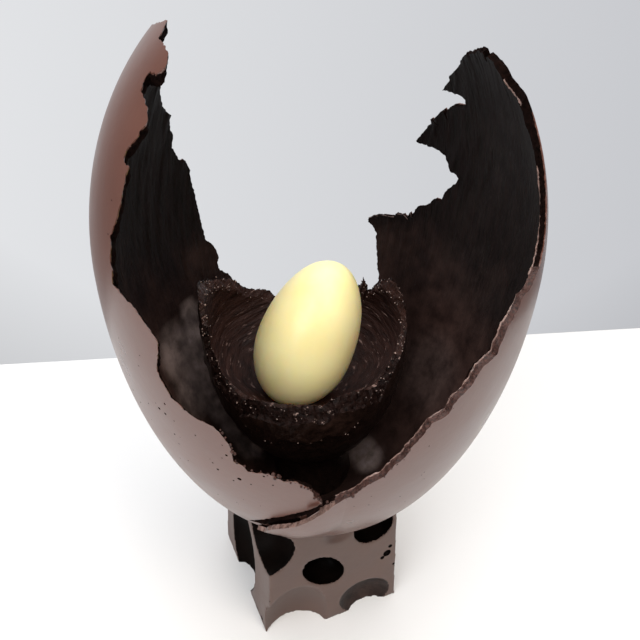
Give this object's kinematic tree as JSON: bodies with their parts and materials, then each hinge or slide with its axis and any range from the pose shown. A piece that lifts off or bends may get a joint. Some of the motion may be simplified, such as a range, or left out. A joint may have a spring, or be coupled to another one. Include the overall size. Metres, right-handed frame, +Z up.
{
  "type": "chocolate egg",
  "caption": "Broken dark chocolate egg shell on a scooped chocolate block, with a smaller broken egg inside as a bowl that holds a white chocolate egg.",
  "frame": {"origin": "on the surface the block stands on, under the axis of the big egg shell", "axes": "+Z up along the axis of the big egg shell, -Y towards the front with the low notch, +X to the right seen from the front"},
  "size_m": [0.2054, 0.1925, 0.3379],
  "materials": {
    "dark_chocolate_shell": "satin tempered dark chocolate, brushed rough inside",
    "dark_chocolate_bowl": "brushed dark chocolate with glossy strokes",
    "white_chocolate": "satin white chocolate",
    "dark_chocolate_block": "matt cast dark chocolate"
  },
  "bodies": {
    "root": {"outer_shell": "dark_chocolate_shell", "inner_bowl": "dark_chocolate_bowl", "white_egg": "white_chocolate", "base_block": "dark_chocolate_block"}
  },
  "joints": []
}
